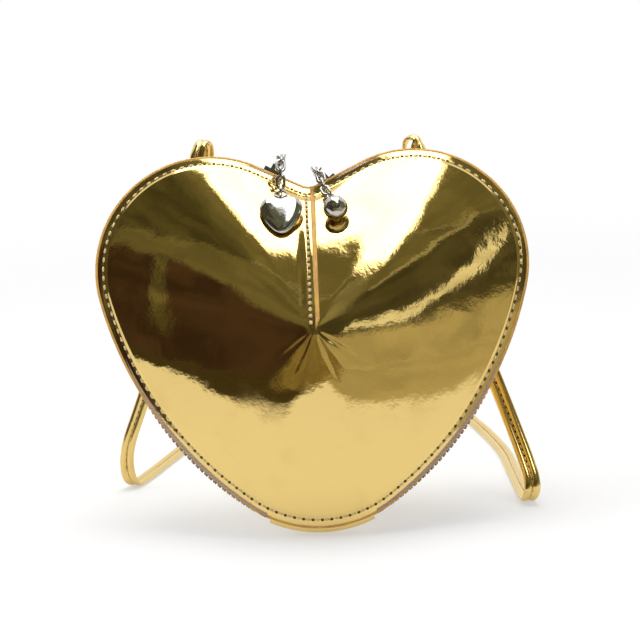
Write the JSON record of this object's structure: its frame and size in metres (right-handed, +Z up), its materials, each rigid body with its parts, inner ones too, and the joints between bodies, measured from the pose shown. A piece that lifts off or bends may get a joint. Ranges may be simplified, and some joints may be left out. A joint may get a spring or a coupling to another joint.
{
  "type": "heart shaped purse",
  "caption": "Heart shaped zip purse with two domed gold halves, a bottom gusset, paired zip sliders with chain charms and a thin shoulder strap.",
  "frame": {"origin": "middle of the level flat under the bottom gusset that the purse stands on", "axes": "+X across the heart to the picture's right, +Y from the front towards the back, +Z up from the floor; the purse leans back 20 degrees"},
  "size_m": [0.2154, 0.3321, 0.1834],
  "materials": {
    "gold_skin": "mirror-coated gold faux leather",
    "gold_strap": "gold faux leather strap",
    "foam": "moulded foam board",
    "lining": "woven lining",
    "tape": "woven zip tape",
    "teeth": "plated zip metal",
    "silver": "polished silver plate"
  },
  "bodies": {
    "back_half": {"back_panel": "gold_skin", "back_board": "foam", "back_lining": "lining", "back_zip_tape": "tape", "back_zip_teeth": "teeth", "zip_end_stops": "teeth", "bottom_gusset": "gold_skin", "left_strap_end": "gold_strap", "right_strap_end": "gold_strap", "shoulder_strap": "gold_strap"},
    "front_half": {"front_panel": "gold_skin", "front_board": "foam", "front_lining": "lining", "front_zip_tape": "tape", "front_zip_teeth": "teeth"},
    "left_runner": {"left_slider": "silver"},
    "right_runner": {"right_slider": "silver"},
    "left_pull": {"left_pull_ring": "silver", "left_pull_chain": "silver"},
    "right_pull": {"right_pull_ring": "silver", "right_pull_chain": "silver"},
    "heart_hang": {"left_charm_ring": "silver", "heart_charm": "silver"},
    "ball_hang": {"right_charm_ring": "silver", "ball_charm": "silver"}
  },
  "joints": [
    {"name": "front_open", "type": "hinge", "parent": "back_half", "child": "front_half", "pos_m": [0, -0.00916, 0.00398], "axis": [1, 0, 0], "range_deg": [0, 50], "deforming": ["front_zip_tape", "front_zip_teeth", "back_zip_tape", "back_zip_teeth"]},
    {"name": "left_slider_run", "type": "hinge", "parent": "front_half", "child": "left_runner", "pos_m": [-0.046, 0.0394, 0.12177], "axis": [0, -0.9397, 0.342], "range_deg": [0, 120], "deforming": ["front_zip_tape", "front_zip_teeth", "back_zip_tape", "back_zip_teeth"]},
    {"name": "right_slider_run", "type": "hinge", "parent": "front_half", "child": "right_runner", "pos_m": [0.046, 0.0394, 0.12177], "axis": [0, 0.9397, -0.342], "range_deg": [0, 130], "deforming": ["front_zip_tape", "front_zip_teeth", "back_zip_tape", "back_zip_teeth"]},
    {"name": "left_pull_lift", "type": "hinge", "parent": "left_runner", "child": "left_pull", "pos_m": [-0.01324, 0.05805, 0.173], "axis": [-0.8572, 0.1762, 0.484], "range_deg": [0, 110]},
    {"name": "heart_swing", "type": "hinge", "parent": "left_pull", "child": "heart_hang", "pos_m": [-0.01385, 0.03819, 0.1614], "axis": [0, -0.6157, 0.788], "range_deg": [-18, 18]},
    {"name": "right_pull_lift", "type": "hinge", "parent": "right_runner", "child": "right_pull", "pos_m": [0.00428, 0.05582, 0.16688], "axis": [-0.7547, -0.2244, -0.6165], "range_deg": [0, 95]},
    {"name": "ball_swing", "type": "hinge", "parent": "right_pull", "child": "ball_hang", "pos_m": [0.00873, 0.03591, 0.1605], "axis": [0, -0.6157, 0.788], "range_deg": [-25, 25]}
  ]
}
